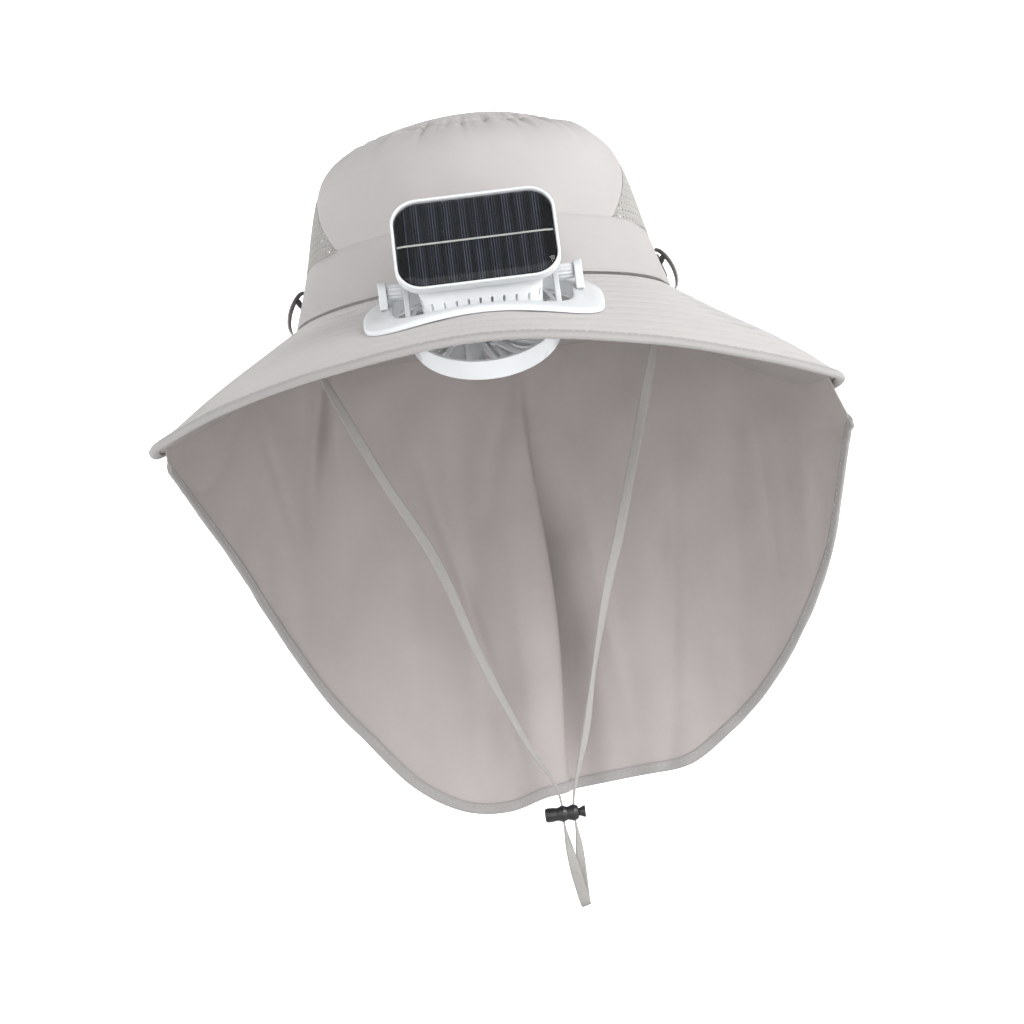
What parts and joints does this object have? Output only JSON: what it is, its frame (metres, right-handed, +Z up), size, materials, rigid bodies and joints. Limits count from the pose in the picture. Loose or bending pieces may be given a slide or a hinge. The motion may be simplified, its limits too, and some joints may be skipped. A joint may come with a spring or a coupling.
{
  "type": "solar fan hat",
  "caption": "Wide-brimmed sun hat with mesh vents, neck flap, chin strap and a clip-on tilting fan with its own solar panel on the brim.",
  "frame": {"origin": "centre of the head opening, in the plane of the seam between crown and brim", "axes": "+Z up to the crown's top, -Y forward to the fan, +X to the right in the picture"},
  "size_m": [0.3176, 0.303, 0.3556],
  "materials": {
    "crown_cloth": "matt woven",
    "band_cloth": "matt woven",
    "brim_cloth": "matt woven, topstitched",
    "net": "open net",
    "binding": "matt woven, folded",
    "flap_cloth": "matt woven",
    "webbing": "flat ribbed",
    "elastic": "braided",
    "black_plastic": "satin",
    "white_plastic": "satin",
    "blade_plastic": "satin",
    "solar_cell": "clear epoxy over dark cells"
  },
  "bodies": {
    "hat": {"crown_band": "band_cloth", "crown_front": "crown_cloth", "crown_back": "crown_cloth", "crown_tip": "crown_cloth", "mesh_left": "net", "mesh_right": "net", "brim": "brim_cloth", "brim_edge": "binding", "neck_flap": "flap_cloth", "flap_hem": "binding", "chin_strap": "webbing", "lock_barrel": "black_plastic", "drawcord": "elastic", "tab_left": "band_cloth", "tab_right": "band_cloth", "cord_toggle": "black_plastic", "frame_plate": "white_plastic", "frame_clip": "white_plastic"},
    "fan_head": {"fan_guard": "white_plastic", "fan_housing": "white_plastic", "solar_rim": "white_plastic", "solar_panel": "solar_cell"},
    "rotor": {"fan_rotor": "blade_plastic"},
    "button": {"lock_button": "black_plastic"}
  },
  "joints": [
    {"name": "head_tilt", "type": "hinge", "parent": "hat", "child": "fan_head", "pos_m": [0, -0.122, -0.004], "axis": [1, 0, 0], "range_deg": [-4, 16]},
    {"name": "rotor_spin", "type": "hinge", "parent": "fan_head", "child": "rotor", "pos_m": [0, -0.13056, -0.02812], "axis": [0, -0.6691, 0.7431], "continuous": true},
    {"name": "button_press", "type": "slide", "parent": "hat", "child": "button", "axis": [-1, 0, 0], "range_m": [0, 0.0018], "stiffness_N_per_m": 400}
  ]
}
